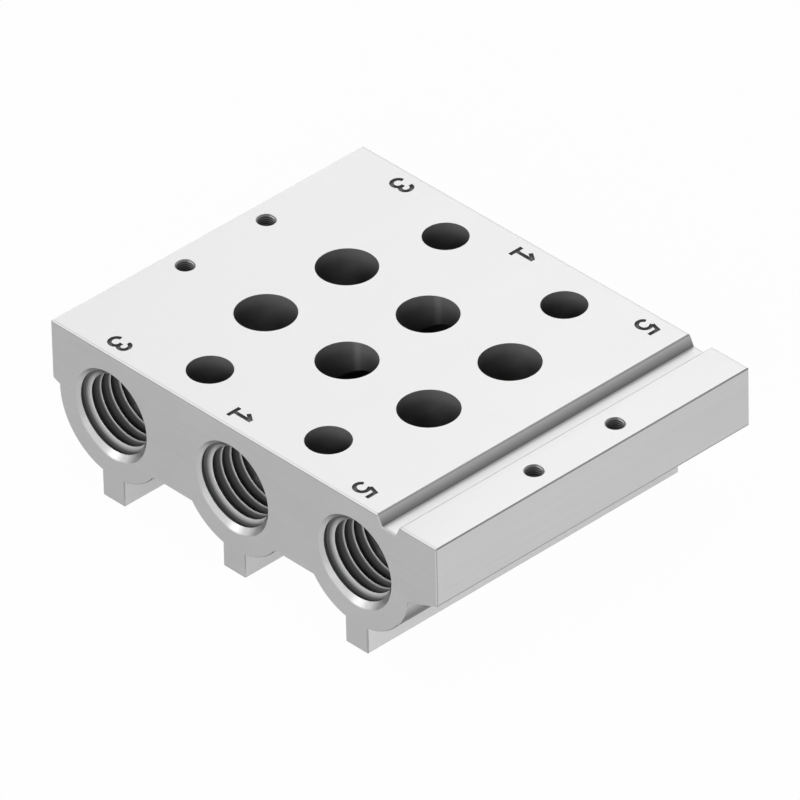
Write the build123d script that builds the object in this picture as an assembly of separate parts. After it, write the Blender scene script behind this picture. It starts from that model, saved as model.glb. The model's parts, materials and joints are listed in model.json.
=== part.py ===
from build123d import *
import os
from math import radians, tan

# Two-station valve manifold base, one machined length of aluminium extrusion.
# Millimetres. X runs across the section, Y along the extrusion, Z up.
# The block rests on its two outer feet at Z = 0, and X = 0, Y = 0 is the middle of its box.
# Channel 1 is the supply in the middle, channels 3 and 5 are the exhausts beside it.

# Overall sizes
HEIGHT = 33.7
EDGE_BREAK = 0.25

# Valve stations, and how far the last station is from the sawn end
STATIONS = 2
STATION_PITCH = 21.0
STATION_END_DISTANCE = 30.0
VALVE_PORT_DIAMETER = 12.2
VALVE_PORT_SPACING = 22.0
VALVE_PORT_DEPTH = 14.5
DRILL_POINT_ANGLE = 118.0

# Channels. The exhaust channels lie outside their valve ports by the channel offset
CHANNEL_OFFSET = 11.0
CHANNEL_DEPTH = 14.05
CHANNEL_DIAMETER = 16.2

# Their tapped mouths, at the tap drill size of a coarse M18 thread, a little less than the channel
PORT_TAP_DRILL = 15.5
PORT_TAP_DEPTH = 16.0
PORT_MOUTH_DIAMETER = 19.7

# Extruded section. The shoulder and the flange reach out past the outer channel bosses
BOSS_RADIUS = 14.2
WEB_THICKNESS = 22.7
LEFT_SHOULDER = 1.8
RIGHT_FLANGE = 7.8
SIDE_HEIGHT = 13.1
UNDERSIDE_SLOPE = 21.5
FOOT_WIDTH = 6.0
MIDDLE_FOOT_LIFT = 0.4

# Rail groove in the top face, beside the land along the right edge
LAND_WIDTH = 9.7
GROOVE_WIDTH = 5.9
GROOVE_DEPTH = 2.2
GROOVE_WALL_TILT = 27.0

# M4 tapped holes that clamp the valves, one beside each end of a valve
VALVE_TAP_DRILL = 3.3
VALVE_TAP_MOUTH = 4.1
VALVE_TAP_DEPTH = 9.0
VALVE_TAP_SIDE_INSET = 5.0

# Through holes that bolt the block down
MOUNT_HOLE_DIAMETER = 9.1
MOUNT_HOLE_SPACING = 32.0
MOUNT_HOLE_END_INSET = 10.0

# Named clearance by which every cut runs past the face that it starts from
CUT_OVERRUN = 1.0

# Worked out from the sizes above
LENGTH = (STATIONS - 1) * STATION_PITCH + 2 * STATION_END_DISTANCE
CHANNEL_SPACING = VALVE_PORT_SPACING + CHANNEL_OFFSET
LEFT_REACH = CHANNEL_SPACING + BOSS_RADIUS + LEFT_SHOULDER
RIGHT_REACH = CHANNEL_SPACING + BOSS_RADIUS + RIGHT_FLANGE
CHANNEL_1_X = (LEFT_REACH - RIGHT_REACH) / 2
CHANNEL_3_X = CHANNEL_1_X - CHANNEL_SPACING
CHANNEL_5_X = CHANNEL_1_X + CHANNEL_SPACING
CHANNEL_XS = (CHANNEL_3_X, CHANNEL_1_X, CHANNEL_5_X)
LEFT_FACE_X = CHANNEL_1_X - LEFT_REACH
RIGHT_FACE_X = CHANNEL_1_X + RIGHT_REACH
CHANNEL_Z = HEIGHT - CHANNEL_DEPTH
SIDE_LOW_Z = HEIGHT - SIDE_HEIGHT
WEB_Z = HEIGHT - WEB_THICKNESS
VALVE_PORT_XS = (CHANNEL_1_X - VALVE_PORT_SPACING, CHANNEL_1_X, CHANNEL_1_X + VALVE_PORT_SPACING)
STATION_YS = [(i - (STATIONS - 1) / 2) * STATION_PITCH for i in range(STATIONS)]


def slab_section():
    """The plate with its sloping side undersides and the flat web between the channels."""
    slope = tan(radians(UNDERSIDE_SLOPE))
    left_inner_z = SIDE_LOW_Z - (CHANNEL_3_X - LEFT_FACE_X) * slope
    right_inner_z = SIDE_LOW_Z - (RIGHT_FACE_X - CHANNEL_5_X) * slope
    return Polygon(
        (LEFT_FACE_X, HEIGHT),
        (LEFT_FACE_X, SIDE_LOW_Z),
        (CHANNEL_3_X, left_inner_z),
        (CHANNEL_3_X, WEB_Z),
        (CHANNEL_5_X, WEB_Z),
        (CHANNEL_5_X, right_inner_z),
        (RIGHT_FACE_X, SIDE_LOW_Z),
        (RIGHT_FACE_X, HEIGHT),
        align=None,
    )


def channel_boss(x):
    """The round wall about one channel, cut off where it would rise above the top face."""
    below_top = Pos(x, HEIGHT / 2) * Rectangle(2 * BOSS_RADIUS, HEIGHT)
    return Pos(x, CHANNEL_Z) * Circle(BOSS_RADIUS) & below_top


def channel_foot(x):
    """The foot under one channel, drawn up to the channel's axis. The middle one is a little short."""
    lift = MIDDLE_FOOT_LIFT if x == CHANNEL_1_X else 0.0
    height = CHANNEL_Z - lift
    return Pos(x, lift + height / 2) * Rectangle(FOOT_WIDTH, height)


def groove_section():
    """The rail groove, a trapezium that opens upwards, cut a little past the top face."""
    lean = tan(radians(GROOVE_WALL_TILT))
    right_x = RIGHT_FACE_X - LAND_WIDTH
    left_x = right_x - GROOVE_WIDTH
    floor_z = HEIGHT - GROOVE_DEPTH
    return Polygon(
        (left_x - CUT_OVERRUN * lean, HEIGHT + CUT_OVERRUN),
        (left_x + GROOVE_DEPTH * lean, floor_z),
        (right_x - GROOVE_DEPTH * lean, floor_z),
        (right_x + CUT_OVERRUN * lean, HEIGHT + CUT_OVERRUN),
        align=None,
    )


def block_section():
    """The whole extruded outline, with the corners of its sides, feet and groove broken."""
    section = slab_section()
    for x in CHANNEL_XS:
        section += channel_boss(x)
        section += channel_foot(x)
    section -= groove_section()
    corners = [v for v in section.vertices() if is_side_corner(v) or is_foot_corner(v) or is_groove_corner(v)]
    return chamfer(corners, EDGE_BREAK)


def is_side_corner(vertex):
    """True for the corners of the left and right side faces."""
    gap = min(abs(vertex.X - LEFT_FACE_X), abs(vertex.X - RIGHT_FACE_X))
    return gap < EDGE_BREAK / 2


def is_foot_corner(vertex):
    """True for the corners of the feet. The section is drawn flat, so its height is still Y."""
    return vertex.Y < CHANNEL_Z - BOSS_RADIUS


def is_groove_corner(vertex):
    """True for the two corners where the groove meets the top face."""
    inside = LEFT_FACE_X + EDGE_BREAK < vertex.X < RIGHT_FACE_X - EDGE_BREAK
    return inside and abs(vertex.Y - HEIGHT) < EDGE_BREAK / 2


def extruded_bar():
    """The section run along Y, with the outline of both sawn ends broken."""
    standing = Plane.XZ.offset(-LENGTH / 2) * block_section()
    bar = extrude(standing, LENGTH)
    ends = [bar.faces().sort_by(Axis.Y)[0], bar.faces().sort_by(Axis.Y)[-1]]
    edges = [edge for end in ends for edge in end.outer_wire().edges()]
    return chamfer(edges, EDGE_BREAK)


def drill(diameter, depth):
    """A twist drill's cut, its mouth at the origin and its full diameter running down to depth."""
    point = diameter / 2 / tan(radians(DRILL_POINT_ANGLE / 2))
    shank = Pos(0, 0, (CUT_OVERRUN - depth) / 2) * Cylinder(diameter / 2, depth + CUT_OVERRUN)
    tip = Pos(0, 0, -depth - point / 2) * Cone(0, diameter / 2, point)
    return shank + tip


def mouth_chamfer(outer, inner):
    """A 45 degree countersink from the outer diameter at the origin to the inner one below."""
    depth = (outer - inner) / 2
    reach = CUT_OVERRUN + depth
    return Pos(0, 0, (CUT_OVERRUN - depth) / 2) * Cone(inner / 2, outer / 2 + CUT_OVERRUN, reach)


def channel_cut(x):
    """One channel along the bar, with a tap drill bore and a countersunk mouth at each end."""
    channel = Cylinder(CHANNEL_DIAMETER / 2, LENGTH - 2 * PORT_TAP_DEPTH)
    cut = Pos(x, 0, CHANNEL_Z) * Rot(90, 0, 0) * channel
    tap_bore = Cylinder(PORT_TAP_DRILL / 2, PORT_TAP_DEPTH + CUT_OVERRUN)
    mouth = Pos(0, 0, (CUT_OVERRUN - PORT_TAP_DEPTH) / 2) * tap_bore
    mouth += mouth_chamfer(PORT_MOUTH_DIAMETER, PORT_TAP_DRILL)
    cut += Pos(x, -LENGTH / 2, CHANNEL_Z) * Rot(90, 0, 0) * mouth
    cut += Pos(x, LENGTH / 2, CHANNEL_Z) * Rot(-90, 0, 0) * mouth
    return cut


def valve_port_cuts():
    """The three ports of each valve station, drilled down until they break into the channels."""
    tool = drill(VALVE_PORT_DIAMETER, VALVE_PORT_DEPTH)
    return [Pos(x, y, HEIGHT) * tool for x in VALVE_PORT_XS for y in STATION_YS]


def valve_tap_cuts():
    """Blind M4 tap drill holes, one near each side edge at every station."""
    tool = drill(VALVE_TAP_DRILL, VALVE_TAP_DEPTH)
    tool += mouth_chamfer(VALVE_TAP_MOUTH, VALVE_TAP_DRILL)
    xs = (LEFT_FACE_X + VALVE_TAP_SIDE_INSET, RIGHT_FACE_X - VALVE_TAP_SIDE_INSET)
    return [Pos(x, y, HEIGHT) * tool for x in xs for y in STATION_YS]


def mount_hole_cuts():
    """Four plain through holes, two on each side of channel 1."""
    tool = Pos(0, 0, HEIGHT / 2) * Cylinder(MOUNT_HOLE_DIAMETER / 2, HEIGHT + 2 * CUT_OVERRUN)
    xs = (CHANNEL_1_X - MOUNT_HOLE_SPACING / 2, CHANNEL_1_X + MOUNT_HOLE_SPACING / 2)
    y = LENGTH / 2 - MOUNT_HOLE_END_INSET
    return [Pos(x, side * y, 0) * tool for x in xs for side in (-1, 1)]


def manifold_block():
    """The finished block, one solid."""
    block = extruded_bar()
    for x in CHANNEL_XS:
        block -= channel_cut(x)
    for cut in valve_port_cuts() + valve_tap_cuts() + mount_hole_cuts():
        block -= cut
    return block


os.makedirs("parts", exist_ok=True)
export_step(manifold_block(), "parts/manifold_block.step")
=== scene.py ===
import bpy
import bmesh
import json
from math import ceil, cos, hypot, pi, radians, sin, tau
from mathutils import Matrix, Vector


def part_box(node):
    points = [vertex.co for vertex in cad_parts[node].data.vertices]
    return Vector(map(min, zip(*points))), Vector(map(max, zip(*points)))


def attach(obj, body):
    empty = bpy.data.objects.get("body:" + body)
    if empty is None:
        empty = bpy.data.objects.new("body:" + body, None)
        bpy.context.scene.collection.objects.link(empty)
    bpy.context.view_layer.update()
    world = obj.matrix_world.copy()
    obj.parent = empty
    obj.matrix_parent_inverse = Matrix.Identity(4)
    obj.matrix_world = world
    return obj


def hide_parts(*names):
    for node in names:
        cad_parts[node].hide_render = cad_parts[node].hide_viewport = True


# Two-station valve manifold base, one machined length of aluminium extrusion.
# Sizes are in millimetres until they meet Blender, which works in metres.
# X runs across the section, Y along the channels, Z up, as in the CAD model.

MM = 0.001

# Port threads, their helix as measured. START is the depth of the first visible crest at angle PHASE,
# and the inner radius lies inside the bore, so that each crest keeps a narrow land of the bore
PORT_THREAD_PITCH = 2.4
PORT_THREAD_ROOT_RADIUS = 9.05
PORT_THREAD_INNER_RADIUS = 7.6
PORT_THREAD_LENGTH = 13.6
PORT_THREAD_START = 2.6
PORT_THREAD_PHASE = -135.0
PORT_THREAD_SEGMENTS = 96

# M4 threads of the valve screws, their pitch as the photograph shows it
TAP_PITCH = 0.5
TAP_ROOT_RADIUS = 1.92
TAP_INNER_RADIUS = 1.62
TAP_LENGTH = 8.0
TAP_SEGMENTS = 40

# Both threads have a 60 degree form, with a flat root that is this share of the pitch
FLANK_SLOPE = 0.57735
ROOT_SHARE = 0.3
RUN_OUT_TURNS = 1.2

# Engraved channel numbers, read from the -X side with their tops towards +X
NUMBER_STROKE = 0.88
NUMBER_DEPTH = 0.5
NUMBER_SHIFT = 1.12
NUMBER_FRONT_INSET = 3.95
NUMBER_REAR_INSET = 4.05
CUTTER_RISE = 0.6

# Camera, fitted to the photograph
CAMERA_TARGET = (13.203, -12.359, 33.7)
CAMERA_AZIMUTH = 46.925
CAMERA_ELEVATION = 35.485
CAMERA_ROLL = -1.331
CAMERA_DISTANCE = 2740.4
CAMERA_LENS = 664.47

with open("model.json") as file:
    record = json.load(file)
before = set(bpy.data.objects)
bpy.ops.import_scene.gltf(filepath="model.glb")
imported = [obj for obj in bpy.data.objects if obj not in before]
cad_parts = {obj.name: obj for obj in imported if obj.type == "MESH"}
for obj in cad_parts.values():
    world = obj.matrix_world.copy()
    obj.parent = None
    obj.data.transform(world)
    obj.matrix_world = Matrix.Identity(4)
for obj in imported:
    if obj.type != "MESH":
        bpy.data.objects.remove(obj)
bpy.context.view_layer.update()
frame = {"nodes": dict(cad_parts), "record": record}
low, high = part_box("manifold_block")
MOUNTS = {mount["name"]: mount for mount in frame["record"]["mounts"]}
PORTS = [name for name in MOUNTS if MOUNTS[name]["kind"] == "threaded_hole"]


def mount_place(name):
    """A mount's place in millimetres."""
    return [value / MM for value in MOUNTS[name]["pos_m"]]


def pattern_places(name):
    """The four hole centres of a rectangular pattern, in millimetres."""
    x, y, _ = mount_place(name)
    dims = MOUNTS[name]["dims"]
    across, along = dims["spacing_x_mm"] / 2, dims["spacing_y_mm"] / 2
    return [(x + i * across, y + j * along) for i in (-1, 1) for j in (-1, 1)]


# Where things lie on the block, in millimetres
TOP = high[2] / MM
HALF_LENGTH = high[1] / MM
SIDE_REACH = high[0] / MM
SIDE_LOW = TOP - 13.1
GROOVE_DEPTH = 2.2
GROOVE_FOOT = SIDE_REACH - 14.5
TAP_PLACES = pattern_places("valve_clamp_taps")
PORT_XS = sorted({round(mount_place(name)[0], 3) for name in PORTS})
PORT_HEIGHT = mount_place(PORTS[0])[2]
PORT_GAP = PORT_XS[1] - PORT_XS[0]
PORT_START = PORT_XS[0] - PORT_GAP / 2


# Nodes

class Nodes:
    """A short way to write node trees: each call adds one node and links its inputs."""

    def __init__(self, tree):
        self.tree = tree
        tree.nodes.clear()

    def add(self, kind, settings=None, **inputs):
        node = self.tree.nodes.new(kind)
        for name, value in (settings or {}).items():
            setattr(node, name, value)
        for name, value in inputs.items():
            socket = self.socket(node, name)
            if isinstance(value, bpy.types.NodeSocket):
                self.tree.links.new(value, socket)
            else:
                socket.default_value = value
        return node

    @staticmethod
    def socket(node, name):
        """The input called name, or number n where the name is in_n."""
        if name.startswith("in_"):
            return node.inputs[int(name[3:])]
        wanted = name.replace("_", " ")
        return next(i for i in node.inputs if i.name == wanted)

    def math(self, operation, a, b=0.0):
        return self.add("ShaderNodeMath", {"operation": operation}, in_0=a, in_1=b).outputs[0]

    def product(self, first, *rest):
        for value in rest:
            first = self.math("MULTIPLY", first, value)
        return first

    def spread(self, value, low_in, high_in, low_out, high_out):
        """Carries value over from one range to another, held to the ends of the second."""
        node = self.add("ShaderNodeMapRange", Value=value, From_Min=low_in, From_Max=high_in,
                        To_Min=low_out, To_Max=high_out)
        return node.outputs[0]

    def place(self, scale=(1, 1, 1)):
        """Object coordinates in millimetres, stretched by scale."""
        coordinates = self.add("ShaderNodeTexCoord").outputs["Object"]
        factors = [s / MM for s in scale]
        return self.add("ShaderNodeMapping", Vector=coordinates, Scale=factors).outputs[0]

    def noise(self, vector, scale, detail=2.0, roughness=0.5):
        node = self.add("ShaderNodeTexNoise", Vector=vector, Scale=scale, Detail=detail,
                        Roughness=roughness)
        return node.outputs["Fac"]

    def blend(self, amount, first, second):
        node = self.add("ShaderNodeMix", {"data_type": "RGBA"})
        for index, value in ((0, amount), (6, first), (7, second)):
            socket = node.inputs[index]
            if isinstance(value, bpy.types.NodeSocket):
                self.tree.links.new(value, socket)
            else:
                socket.default_value = value
        return node.outputs[2]


# Finishes. Every one is bare aluminium with its tool's marks, and most carry painted shade, a near-black
# mixed in where shade falls

PAINTED_SHADE_COLOUR = (0.02, 0.02, 0.02, 1.0)
VARIATION = 0.012
COLOUR_RANGE = 0.15
MARK_DEPTH = 0.01

# Directions in the top face, in degrees from +X to +Y: to the right in the photograph, and along
# the wall of a valve port at its paler streak
RIGHTWARD = 47.0
PALE_STREAK_EDGE = 28.4
VALVE_PORT_RADIUS = 6.1


def grey(level):
    return (level, level, level, 1.0)


def aluminium(name, marks, base=0.63, rough=0.42, metallic=0.5, painted_shade=None):
    """Bare satin aluminium.

    marks(nodes) gives the height pattern that its tool leaves, from 0 to 1. The last argument, where
    given, is a mask of painted shade: how far the colour is darkened to near-black, from 0 to 1.
    """
    material = bpy.data.materials.new(name)
    material.use_nodes = True
    nodes = Nodes(material.node_tree)
    height = marks(nodes)
    cloud = nodes.noise(nodes.place((1, 0.35, 1)), 0.06, 3.0)
    grain = nodes.noise(nodes.place(), 6.0, 2.0)
    shade = nodes.math("ADD", nodes.spread(height, 0.3, 0.7, -VARIATION, VARIATION),
                       nodes.spread(cloud, 0.3, 0.7, -VARIATION, VARIATION))
    shade = nodes.math("ADD", shade, nodes.spread(grain, 0.3, 0.7, -VARIATION / 2, VARIATION / 2))
    colour = nodes.blend(nodes.spread(shade, -COLOUR_RANGE, COLOUR_RANGE, 0, 1),
                         grey(base - COLOUR_RANGE), grey(base + COLOUR_RANGE))
    # Painted shade: the mask darkens the colour towards near-black where shade falls
    if painted_shade:
        colour = nodes.blend(painted_shade(nodes), colour, PAINTED_SHADE_COLOUR)
    roughness = nodes.spread(nodes.math("ADD", cloud, height), 0.4, 1.6, rough - 0.05, rough + 0.07)
    relief = nodes.math("ADD", height, nodes.math("MULTIPLY", grain, 0.4))
    normal = nodes.add("ShaderNodeBump", Strength=1.0, Distance=MARK_DEPTH * MM, Height=relief).outputs[0]
    shader = nodes.add("ShaderNodeBsdfPrincipled", Base_Color=colour, Metallic=metallic,
                       Roughness=roughness, Normal=normal)
    nodes.add("ShaderNodeOutputMaterial", Surface=shader.outputs[0])
    return material


def occlusion_shade(nodes, reach, most):
    """Painted shade that gathers where little light comes in from within reach, in millimetres."""
    openness = nodes.add("ShaderNodeAmbientOcclusion", {"samples": 6}, Distance=reach * MM).outputs["AO"]
    return nodes.spread(openness, 0.1, 0.8, most, 0)


def spot_parts(nodes):
    """The x, y and z of the shaded spot, in millimetres."""
    return nodes.add("ShaderNodeSeparateXYZ", Vector=nodes.place()).outputs


def normal_parts(nodes):
    """The x, y and z of the shaded spot's normal."""
    normal = nodes.add("ShaderNodeNewGeometry").outputs["Normal"]
    return nodes.add("ShaderNodeSeparateXYZ", Vector=normal).outputs


def facing(nodes, degrees):
    """How far a wall looks towards the direction this many degrees from +X to +Y, from -1 to 1."""
    normal = normal_parts(nodes)
    along_x = nodes.math("MULTIPLY", normal[0], cos(radians(degrees)))
    along_y = nodes.math("MULTIPLY", normal[1], sin(radians(degrees)))
    return nodes.math("ADD", along_x, along_y)


def from_sawn_end(nodes, spot):
    """How far the spot lies inside the nearer end of the bar."""
    return nodes.math("SUBTRACT", HALF_LENGTH, nodes.math("ABSOLUTE", spot[1]))


def from_port_axis(nodes, spot):
    """How far the spot lies to the right of the nearest port axis, and how far above it."""
    column = nodes.math("MODULO", nodes.math("ADD", spot[0], 1000 * PORT_GAP - PORT_START), PORT_GAP)
    return nodes.math("SUBTRACT", column, PORT_GAP / 2), nodes.math("SUBTRACT", spot[2], PORT_HEIGHT)


def near_value(nodes, value, target, within):
    """1 where value lies within reach of target, or else 0."""
    return nodes.math("LESS_THAN", nodes.math("ABSOLUTE", nodes.math("SUBTRACT", value, target)), within)


def bore_painted_shade(nodes):
    """Painted shade in the holes, darkest below the first few millimetres and on the left wall.

    The two valve ports of channel 1 have a paler streak, where less shade is painted.
    """
    spot = spot_parts(nodes)
    shade_amount = nodes.math("MAXIMUM", nodes.spread(spot[2], TOP - 9, TOP - 0.5, 0.91, 0.5),
                      occlusion_shade(nodes, 12, 0.87))
    shade_amount = nodes.math("MAXIMUM", shade_amount, nodes.spread(facing(nodes, RIGHTWARD), -0.9, 0.2, 0.5, 0.77))
    shade_amount = nodes.math("MULTIPLY", shade_amount, nodes.spread(spot[2], TOP - 3, TOP, 1.0, 0.75))
    pale_streak = nodes.spread(nodes.math("ABSOLUTE", facing(nodes, PALE_STREAK_EDGE)), 0.05, 0.16, 1.0, 0.0)
    middle = near_value(nodes, spot[0], PORT_XS[1], VALVE_PORT_RADIUS + 0.1)
    return nodes.math("SUBTRACT", shade_amount, nodes.product(pale_streak, middle, 0.16))


def tap_painted_shade(nodes, least, far, left):
    """Painted shade in the taps: darkest on their far wall, less on the left, least on the right."""
    rightward = facing(nodes, RIGHTWARD)
    right_side = nodes.spread(rightward, -0.65, -0.1, least, far)
    return nodes.math("MULTIPLY", right_side, nodes.spread(rightward, 0.2, 0.8, 1.0, left))


def tap_crest_painted_shade(nodes):
    return tap_painted_shade(nodes, 0.0, 0.93, 0.75)


def tap_thread_painted_shade(nodes):
    return tap_painted_shade(nodes, 0.78, 0.97, 0.92)


def thread_painted_shade(nodes):
    """Painted shade in the port threads: in the root of the first groove, and over all of the deeper ones.
    """
    spot = spot_parts(nodes)
    across, up = from_port_axis(nodes, spot)
    square = nodes.math("ADD", nodes.math("MULTIPLY", across, across), nodes.math("MULTIPLY", up, up))
    radius = nodes.math("SQRT", square)
    turn = nodes.math("DIVIDE", nodes.math("ARCTAN2", up, across), tau)
    turn = nodes.math("FRACT", nodes.math("ADD", turn, 0.5 - PORT_THREAD_PHASE / 360))
    inward = from_sawn_end(nodes, spot)
    rise = nodes.math("MULTIPLY", nodes.math("SUBTRACT", turn, 0.5), PORT_THREAD_PITCH)
    past_crest = nodes.math("SUBTRACT", nodes.math("SUBTRACT", inward, rise), PORT_THREAD_START)
    first = nodes.spread(radius, 7.68, 8.65, 0.2, 0.93)
    deeper = nodes.math("MULTIPLY", nodes.spread(past_crest, -0.1, 0.3, 0.0, 1.0),
                        nodes.spread(radius, 7.68, 8.05, 0.3, 0.9))
    return nodes.math("MAXIMUM", first, deeper)


def countersink_painted_shade(nodes):
    """Painted shade in the upper part of each port's mouth, less of it on its two sides, and a faint line
    at its outer rim.
    """
    spot = spot_parts(nodes)
    across, up = from_port_axis(nodes, spot)
    inward = from_sawn_end(nodes, spot)
    shade_amount = nodes.math("MAXIMUM", nodes.spread(up, 1, 8, 0.0, 0.6), nodes.spread(across, 3.3, 5.8, 0.0, 0.6))
    shade_amount = nodes.math("MAXIMUM", shade_amount, nodes.spread(across, -4.5, -9, 0.0, 0.2))
    return nodes.math("MAXIMUM", shade_amount, nodes.spread(inward, 0.05, 0.2, 0.3, 0.0))


def rim_painted_shade(nodes):
    """A thin line of painted shade under the broken top edge of each sawn end."""
    return nodes.spread(spot_parts(nodes)[2], TOP - 0.2, TOP - 0.13, 0.65, 0.0)


def hanging_painted_shade(nodes, most):
    """Painted shade on whatever looks aslant down, where it meets the faces that look straight down."""
    down = normal_parts(nodes)[2]
    return nodes.math("MULTIPLY", nodes.spread(down, -0.15, -0.5, 0.0, most),
                      nodes.spread(down, -0.9, -0.75, 0.0, 1.0))


def side_edge_painted_shade(nodes):
    """A thin line of painted shade along the outer half of each broken upright edge, and painted shade
    where it looks aslant down.
    """
    across = nodes.math("ABSOLUTE", spot_parts(nodes)[0])
    line = nodes.spread(across, SIDE_REACH - 0.14, SIDE_REACH - 0.1, 0.0, 0.45)
    return nodes.math("MAXIMUM", line, hanging_painted_shade(nodes, 0.92))


def underside_painted_shade(nodes):
    """Painted shade in the corners under the block, and a thin line of painted shade along the foot of each
    side face.
    """
    spot = spot_parts(nodes)
    low = near_value(nodes, spot[2], SIDE_LOW + 0.32, 0.08)
    side = nodes.math("GREATER_THAN", nodes.math("ABSOLUTE", spot[0]), SIDE_REACH - 0.05)
    return nodes.math("MAXIMUM", nodes.product(low, side, 0.4), hanging_painted_shade(nodes, 0.93))


def milled_painted_shade(nodes):
    """Painted shade: a thin band along the sawn ends of the top, and more at the foot of the groove's wall.
    """
    spot = spot_parts(nodes)
    inward = from_sawn_end(nodes, spot)
    floor = nodes.math("LESS_THAN", spot[2], TOP - 1)
    shade = nodes.spread(spot[0], GROOVE_FOOT, GROOVE_FOOT + 0.9, 0.5, 0.0)
    foot = nodes.math("MULTIPLY", floor, shade)
    return nodes.math("MAXIMUM", nodes.spread(inward, 0.4, 0.7, 0.17, 0.0), foot)


def groove_painted_shade(nodes):
    """Painted shade that darkens towards the foot of the groove's wall, where less light comes."""
    return nodes.spread(spot_parts(nodes)[2], TOP - GROOVE_DEPTH, TOP, 0.72, 0.0)


def milled_marks(nodes):
    """Shallow arcs of a wide face mill that travels along Y, with a faint lay of fine lines."""
    centre = nodes.add("ShaderNodeMapping", Vector=nodes.place(), Location=(0, 900, 0)).outputs[0]
    arcs = nodes.add("ShaderNodeTexWave", {"wave_type": "RINGS", "rings_direction": "Z"},
                     Vector=centre, Scale=0.9, Distortion=0.4, Detail=2.0).outputs["Fac"]
    fine = nodes.noise(nodes.place((1.6, 0.1, 1.0)), 1.0, 2.0)
    return nodes.math("ADD", nodes.math("MULTIPLY", arcs, 0.5), nodes.math("MULTIPLY", fine, 0.5))


def sawn_marks(nodes):
    """Fine straight lines across the section, where the bar's end was cut and faced."""
    return nodes.noise(nodes.place((0.1, 1.0, 1.8)), 1.0, 3.0, 0.6)


def extruded_marks(nodes):
    """Die lines that run the whole length of the bar."""
    return nodes.noise(nodes.place((1.8, 0.02, 1.8)), 1.0, 3.0, 0.6)


def bored_marks(nodes):
    """Close rings left by a drill, crossing every hole square to its axis."""
    return nodes.noise(nodes.place((0.4, 2.5, 2.5)), 1.0, 2.0)


def engraved_marks(nodes):
    """A matt, slightly uneven floor."""
    return nodes.noise(nodes.place(), 8.0, 2.0)


MATERIALS = [
    aluminium("milled_aluminium", milled_marks, painted_shade=milled_painted_shade),
    # Sawn ends: a darker base, painted shade for the ends turned from the light
    aluminium("sawn_aluminium_painted_shade", sawn_marks, base=0.41, metallic=0.2),
    aluminium("extruded_aluminium", extruded_marks, base=0.6, painted_shade=underside_painted_shade),
    # Outer side of the end foot: a lighter copy of the extruded finish, painted light
    aluminium("foot_aluminium_painted_light", extruded_marks, base=0.69),
    # Hole walls: a darker base, painted shade for the dim inside of the holes
    aluminium("bored_aluminium_painted_shade", bored_marks, base=0.4, painted_shade=bore_painted_shade),
    aluminium("countersunk_aluminium", bored_marks, base=0.58, rough=0.3, painted_shade=countersink_painted_shade),
    # Crests of the port threads: a near-white, non-metallic base, a painted highlight that makes each crest
    # a bright line
    aluminium("crest_aluminium_painted_highlight", bored_marks, base=0.9, rough=0.3, metallic=0.0),
    # Port thread flanks: a pale base, painted light on the lit first band, under painted shade in the roots
    # and deeper turns
    aluminium("threaded_aluminium_painted_light_and_shade", bored_marks, base=0.72, painted_shade=thread_painted_shade),
    # Taps: pale bases, with painted shade over the far and left walls of each tap
    aluminium("tap_crest_aluminium", bored_marks, base=0.88, metallic=0.0, painted_shade=tap_crest_painted_shade),
    aluminium("tapped_aluminium", bored_marks, base=0.8, metallic=0.0, painted_shade=tap_thread_painted_shade),
    # Engraved numbers: a near-black base, painted shade for the dark inside of the recesses
    aluminium("engraved_aluminium_painted_shade", engraved_marks, base=0.075, rough=0.6),
    # Broken edges that look up at the sides and groove: a dark base, painted shade
    aluminium("deburred_edge_painted_shade", engraved_marks, base=0.22, rough=0.35),
    aluminium("edge_aluminium", engraved_marks, base=0.68, rough=0.35, painted_shade=rim_painted_shade),
    aluminium("side_edge_aluminium", engraved_marks, base=0.57, rough=0.35, painted_shade=side_edge_painted_shade),
    # The groove's visible wall: a darker base, painted shade, darkened further towards its foot
    aluminium("groove_aluminium_painted_shade", extruded_marks, base=0.42, painted_shade=groove_painted_shade),
]
(MILLED, SAWN, EXTRUDED, FOOT, BORED, COUNTERSUNK, CREST, THREADED, TAP_CREST, TAPPED, ENGRAVED,
 DEBURRED, RIM, SIDE_EDGE, GROOVE) = range(len(MATERIALS))


# Mesh helpers

def new_object(name, mesh):
    thing = bpy.data.objects.new(name, mesh)
    bpy.context.scene.collection.objects.link(thing)
    return thing


def mesh_from(name, points, faces, material):
    """A closed mesh from points in millimetres, with its faces turned outwards."""
    mesh = bpy.data.meshes.new(name)
    mesh.from_pydata([Vector(p) * MM for p in points], [], faces)
    for each in MATERIALS:
        mesh.materials.append(each)
    work = bmesh.new()
    work.from_mesh(mesh)
    bmesh.ops.recalc_face_normals(work, faces=work.faces)
    for face in work.faces:
        face.material_index = material
        face.smooth = True
    work.to_mesh(mesh)
    work.free()
    return mesh


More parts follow.
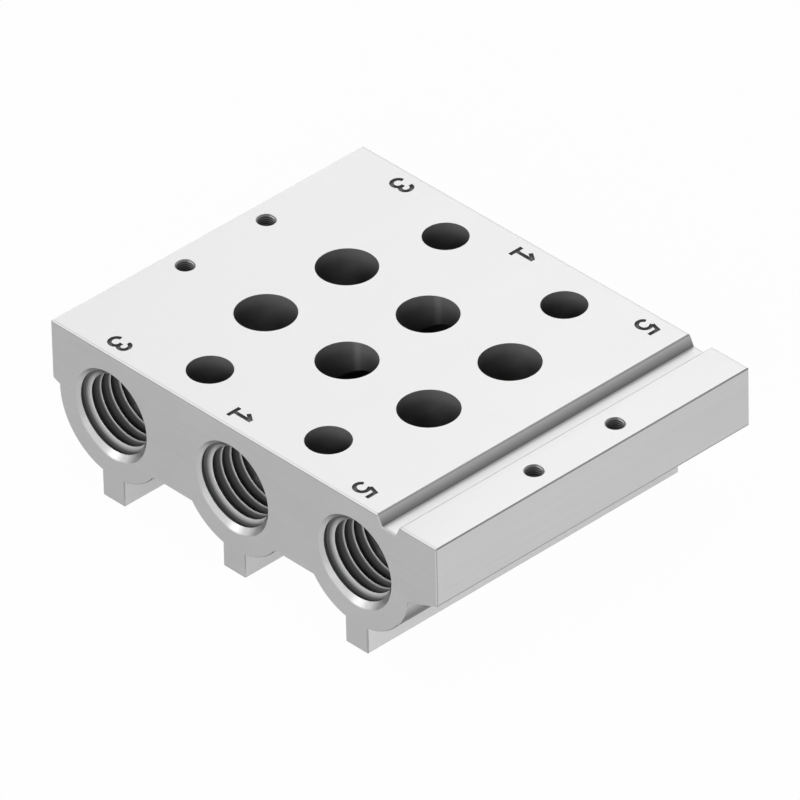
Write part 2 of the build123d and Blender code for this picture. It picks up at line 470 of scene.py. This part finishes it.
def threaded_rod(pitch, inner, root, length, start, phase, segments):
    """Points and faces of a closed rod with a left-hand thread, which runs down from z = 0.

    The hole's crest, where the rod is thinnest, lies at depth start plus whole pitches at the
    angle phase. The rod begins well above z = 0, and its ridge sinks over the last turns.
    """
    ridge = ROOT_SHARE * pitch
    flank = (root - inner) * FLANK_SLOPE
    rest = (pitch - ridge - 2 * flank) / 2
    corners = ((rest, inner), (rest + flank, root), (rest + flank + ridge, root), (pitch - rest, inner))
    lowest_start = start - pitch * (ceil(start / pitch) + 1)
    last = ceil((length - lowest_start) / pitch) * segments
    points = []
    for station in range(last + 1):
        angle = phase + tau * station / segments
        for offset, radius in corners:
            depth = lowest_start + pitch * station / segments + offset
            fade = min(max((length - depth) / (RUN_OUT_TURNS * pitch), 0.0), 1.0)
            reach = inner + (radius - inner) * fade
            points.append((reach * cos(angle), reach * sin(angle), -depth))
    ways = len(corners)
    faces = []
    for s in range(last):
        for c in range(ways - 1):
            faces.append((s * ways + c, s * ways + c + 1, (s + 1) * ways + c + 1, (s + 1) * ways + c))
        if s + segments < last:
            below = (s + segments) * ways
            faces.append((s * ways + ways - 1, below, below + ways, (s + 1) * ways + ways - 1))
    upper = [s * ways for s in range(segments + 1)] + [3, 2, 1]
    lower = [s * ways + 3 for s in range(last - segments, last + 1)] + [last * ways + c for c in (2, 1, 0)]
    for ring in (upper, lower):
        hub = len(points)
        points.append((0, 0, points[ring[0]][2]))
        faces += [(a, b, hub) for a, b in zip(ring, ring[1:] + ring[:1])]
    return points, faces


def port_thread_cutters():
    """The six port threads. The rear ones mirror the front ones, as the two halves of the block do."""
    points, faces = threaded_rod(PORT_THREAD_PITCH, PORT_THREAD_INNER_RADIUS, PORT_THREAD_ROOT_RADIUS,
                                 PORT_THREAD_LENGTH, PORT_THREAD_START, radians(PORT_THREAD_PHASE),
                                 PORT_THREAD_SEGMENTS)
    cutters = []
    for name in PORTS:
        x, _, z = mount_place(name)
        side = MOUNTS[name]["axis"][1]
        placed = [(x + px, side * (HALF_LENGTH + pz), z + py) for px, py, pz in points]
        cutters.append(mesh_from(name + "_thread", placed, faces, THREADED))
    return cutters


def tap_thread_cutters():
    """The four right-hand M4 threads in the top face."""
    points, faces = threaded_rod(TAP_PITCH, TAP_INNER_RADIUS, TAP_ROOT_RADIUS, TAP_LENGTH, 0.0, 0.0,
                                 TAP_SEGMENTS)
    cutters = []
    for index, (x, y) in enumerate(TAP_PLACES):
        placed = [(x + px, y - py, TOP + pz) for px, py, pz in points]
        cutters.append(mesh_from(f"tap_thread_{index}", placed, faces, TAPPED))
    return cutters


# Channel numbers

def arc(centre, radii, start, end, steps=14):
    """Points along part of an ellipse, its angles in degrees."""
    angles = [radians(start + (end - start) * i / steps) for i in range(steps + 1)]
    return [(centre[0] + radii[0] * cos(a), centre[1] + radii[1] * sin(a)) for a in angles]


# Centre lines of each number's strokes: right, then up, from the middle of the figure
FIGURES = {
    "3": (
        arc((0.0, 1.17), (1.2, 1.07), 188, -62),
        arc((0.0, -0.97), (1.33, 1.28), 76, -176),
        [(-0.25, 0.23), (0.45, 0.23)],
    ),
    "1": (
        [(-1.42, 0.56), (-0.12, 2.44)],
        [(-0.02, 2.58), (-0.02, -2.0)],
        [(-1.6, -1.98), (1.62, -1.98)],
    ),
    "5": (
        [(1.6, 2.24), (-0.78, 2.24), (-1.24, 0.3)],
        [(-1.3, 0.26)] + arc((-0.02, -0.7), (1.32, 1.42), 118, -152),
    ),
}


def ribbon(line, width):
    """The outline of a stroke of even width along a line of points, with square ends."""
    left, right = [], []
    for i, (x, y) in enumerate(line):
        x0, y0 = line[max(i - 1, 0)]
        x1, y1 = line[min(i + 1, len(line) - 1)]
        size = hypot(x1 - x0, y1 - y0)
        nx, ny = -(y1 - y0) / size, (x1 - x0) / size
        if 0 < i < len(line) - 1:
            along = hypot(x - x0, y - y0)
            mitre = abs((y - y0) * nx - (x - x0) * ny) / along
        else:
            mitre = 1.0
        reach = width / 2 / max(mitre, 0.5)
        left.append((x + nx * reach, y + ny * reach))
        right.append((x - nx * reach, y - ny * reach))
    return left + right[::-1]


def number_cutters():
    """A cutter for each stroke of the six numbers, one number beside each port."""
    cutters = []
    for name in PORTS:
        figure = name.split("_")[1]
        port_x, _, _ = mount_place(name)
        side = MOUNTS[name]["axis"][1]
        inset = NUMBER_FRONT_INSET if side < 0 else NUMBER_REAR_INSET
        x, y = port_x - NUMBER_SHIFT, side * (HALF_LENGTH - inset)
        for index, line in enumerate(FIGURES[figure]):
            outline = [(x + up, y - right) for right, up in ribbon(line, NUMBER_STROKE)]
            count = len(outline)
            points = [(px, py, TOP - NUMBER_DEPTH) for px, py in outline]
            points += [(px, py, TOP + CUTTER_RISE) for px, py in outline]
            sides = [(i, (i + 1) % count, count + (i + 1) % count, count + i) for i in range(count)]
            ends = [tuple(range(count)), tuple(range(count, 2 * count))]
            cutters.append(mesh_from(f"{name}_stroke_{index}", points, sides + ends, ENGRAVED))
    return cutters


# The block. These zones tell its faces apart: within a port's or a tap's mouth, and below the foot's top

PORT_ZONE = 9.9
TAP_ZONE = 2.3
FOOT_ZONE = 9.0
THREAD_END = PORT_THREAD_LENGTH - 1


def near(value, target, within=0.3):
    return abs(value - target) < within


def within_port(x, z):
    return any(hypot(x - port_x, z - PORT_HEIGHT) < PORT_ZONE for port_x in PORT_XS)


def within_tap(x, y):
    return any(hypot(x - tap_x, y - tap_y) < TAP_ZONE for tap_x, tap_y in TAP_PLACES)


def surface_kind(centre, normal):
    """Which finish a face of the CAD block has, from where it is in millimetres and where it faces."""
    inward = HALF_LENGTH - abs(centre.y)
    if within_port(centre.x, centre.z) and abs(normal.y) < 0.9:
        if abs(normal.y) > 0.3 and inward < 3:
            return COUNTERSUNK
        return CREST if inward < THREAD_END else BORED
    if normal.z < 0.99 and within_tap(centre.x, centre.y):
        return TAP_CREST
    # Slanted broken edges take their finish by which way they face; the dark ones among them are painted
    # shade
    slanted = sum(abs(part) > 0.5 for part in normal) == 2
    if slanted and near(abs(centre.x), SIDE_REACH):
        return DEBURRED if normal.z > 0.5 else SIDE_EDGE
    if slanted and near(inward, 0):
        if normal.z > 0.5 and near(centre.z, TOP):
            return RIM
        return SAWN if normal.z > -0.45 else SIDE_EDGE
    if near(inward, 0) and abs(normal.y) > 0.6:
        return SAWN
    # The groove's walls and top edges: those facing +X take the darker finish, painted shade
    if centre.z > TOP - 2.5 and 0.3 < normal.z < 0.9 and abs(normal.y) < 0.1:
        if near(centre.z, TOP):
            return DEBURRED if normal.x > 0 else RIM
        return GROOVE if normal.x > 0 else EXTRUDED
    if normal.z > 0.99 and centre.z > TOP - 3:
        return MILLED
    upright = abs(normal.z) < 0.1 and abs(centre.x) < SIDE_REACH - 0.5
    if upright and inward > 4 and centre.z > FOOT_ZONE:
        return BORED
    # The outer side of the end foot takes a lighter copy of the extruded finish, painted light
    outer_foot_side = centre.z < FOOT_ZONE and centre.x > PORT_XS[2] and normal.x > 0.9
    return FOOT if outer_foot_side else EXTRUDED


def block_mesh():
    """The CAD block, welded, with each face's finish."""
    cad = frame["nodes"]["manifold_block"].data
    mesh = bpy.data.meshes.new("machined_block")
    mesh.from_pydata([v.co for v in cad.vertices], [], [p.vertices for p in cad.polygons])
    for each in MATERIALS:
        mesh.materials.append(each)
    work = bmesh.new()
    work.from_mesh(mesh)
    bmesh.ops.remove_doubles(work, verts=work.verts, dist=0.001 * MM)
    for face in work.faces:
        face.material_index = surface_kind(face.calc_center_median() / MM, face.normal)
        face.smooth = True
    work.to_mesh(mesh)
    work.free()
    return mesh


def cut_away(block, cutters):
    """Takes every cutter out of the block in one Boolean, and applies it."""
    group = bpy.data.collections.new("cutters")
    tools = [new_object(mesh.name, mesh) for mesh in cutters]
    for tool in tools:
        group.objects.link(tool)
    modifier = block.modifiers.new("cut", "BOOLEAN")
    modifier.operation = "DIFFERENCE"
    modifier.operand_type = "COLLECTION"
    modifier.collection = group
    modifier.solver = "MANIFOLD"
    modifier.material_mode = "TRANSFER"
    bpy.context.view_layer.update()
    evaluated = block.evaluated_get(bpy.context.evaluated_depsgraph_get())
    finished = bpy.data.meshes.new_from_object(evaluated)
    block.modifiers.clear()
    block.data = finished
    for tool in tools:
        bpy.data.objects.remove(tool)
    bpy.data.collections.remove(group)


def round_off(block):
    """Shades the block smooth but for its real corners. Its broken edges shade as if rounded."""
    work = bmesh.new()
    work.from_mesh(block.data)
    for edge in work.edges:
        kinds = {face.material_index for face in edge.link_faces}
        limit = 60 if kinds & {RIM, SIDE_EDGE} else 28
        edge.smooth = edge.calc_face_angle(pi) < radians(limit)
    work.to_mesh(block.data)
    work.free()
    weigh = block.modifiers.new("even_shading", "WEIGHTED_NORMAL")
    weigh.keep_sharp = True
    weigh.weight = 100


def machined_block():
    block = new_object("machined_block", block_mesh())
    cut_away(block, port_thread_cutters() + tap_thread_cutters() + number_cutters())
    round_off(block)
    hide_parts("manifold_block")
    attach(block, "root")
    return block


# Studio

FLOOR_SIZE = 12.0
FLOOR_DROP = 0.02
FLOOR_SHOWN_WHITE = 0.975
WORLD_LEVEL = 0.15
WHITE = (1, 1, 1, 1)


def shown_rays(nodes):
    """1 for the camera and for what gloss and glass show, 0 for the light that falls on things."""
    path = nodes.add("ShaderNodeLightPath")
    seen = nodes.math("MAXIMUM", path.outputs["Is Camera Ray"], path.outputs["Is Glossy Ray"])
    return nodes.math("MAXIMUM", seen, path.outputs["Is Transmission Ray"])


def studio_floor():
    mesh = bpy.data.meshes.new("floor")
    half = FLOOR_SIZE / 2
    low_z = -FLOOR_DROP * MM
    corners = [(-half, -half, low_z), (half, -half, low_z), (half, half, low_z), (-half, half, low_z)]
    mesh.from_pydata(corners, [], [(0, 1, 2, 3)])
    material = bpy.data.materials.new("pale_floor")
    material.use_nodes = True
    nodes = Nodes(material.node_tree)
    matt = nodes.add("ShaderNodeBsdfDiffuse", Color=grey(0.7)).outputs[0]
    white = nodes.add("ShaderNodeEmission", Color=WHITE, Strength=1.0).outputs[0]
    share = nodes.math("MULTIPLY", shown_rays(nodes), FLOOR_SHOWN_WHITE)
    mixed = nodes.add("ShaderNodeMixShader", in_0=share, in_1=matt, in_2=white).outputs[0]
    nodes.add("ShaderNodeOutputMaterial", Surface=mixed)
    mesh.materials.append(material)
    floor = new_object("floor", mesh)


def studio_world():
    world = bpy.data.worlds.new("studio")
    world.use_nodes = True
    bpy.context.scene.world = world
    nodes = Nodes(world.node_tree)
    strength = nodes.spread(shown_rays(nodes), 0, 1, WORLD_LEVEL, 1.0)
    background = nodes.add("ShaderNodeBackground", Color=WHITE, Strength=strength).outputs[0]
    nodes.add("ShaderNodeOutputWorld", Surface=background)


def soft_box(name, place, size, power, shines=True):
    """A square area light that points at the block. Where shines is False, no gloss shows it."""
    light = bpy.data.lights.new(name, "AREA")
    light.shape = "SQUARE"
    light.size = size
    light.energy = power
    thing = bpy.data.objects.new(name, light)
    bpy.context.scene.collection.objects.link(thing)
    thing.visible_glossy = shines
    thing.location = place
    thing.rotation_euler = (-Vector(place)).to_track_quat("-Z", "Y").to_euler()


def camera():
    data = bpy.data.cameras.new("camera")
    data.sensor_width = 36
    data.lens = CAMERA_LENS
    view = bpy.data.objects.new("camera", data)
    bpy.context.scene.collection.objects.link(view)
    around, above = radians(CAMERA_AZIMUTH), radians(CAMERA_ELEVATION)
    back = Vector((sin(around) * cos(above), -cos(around) * cos(above), sin(above)))
    right = Vector((0, 0, 1)).cross(back).normalized()
    turn = Matrix((right, back.cross(right), back)).transposed().to_4x4()
    place = Matrix.Translation((Vector(CAMERA_TARGET) + back * CAMERA_DISTANCE) * MM)
    view.matrix_world = place @ turn @ Matrix.Rotation(radians(CAMERA_ROLL), 4, "Z")
    bpy.context.scene.camera = view


machined_block()
studio_floor()
studio_world()
# Name, place and side in metres, power in watts
soft_box("key", (-0.85, 1.0, 1.1), 0.7, 3.1)
soft_box("overhead", (0.3, -0.1, 2.2), 1.6, 19.5)
soft_box("front_left", (-1.3, -1.3, 1.2), 0.8, 5)
soft_box("front", (0.9, -1.3, 0.6), 0.7, 19, shines=False)
soft_box("right", (1.9, 0.5, 0.3), 1.0, 1)
camera()
bpy.context.scene.view_settings.view_transform = "Standard"
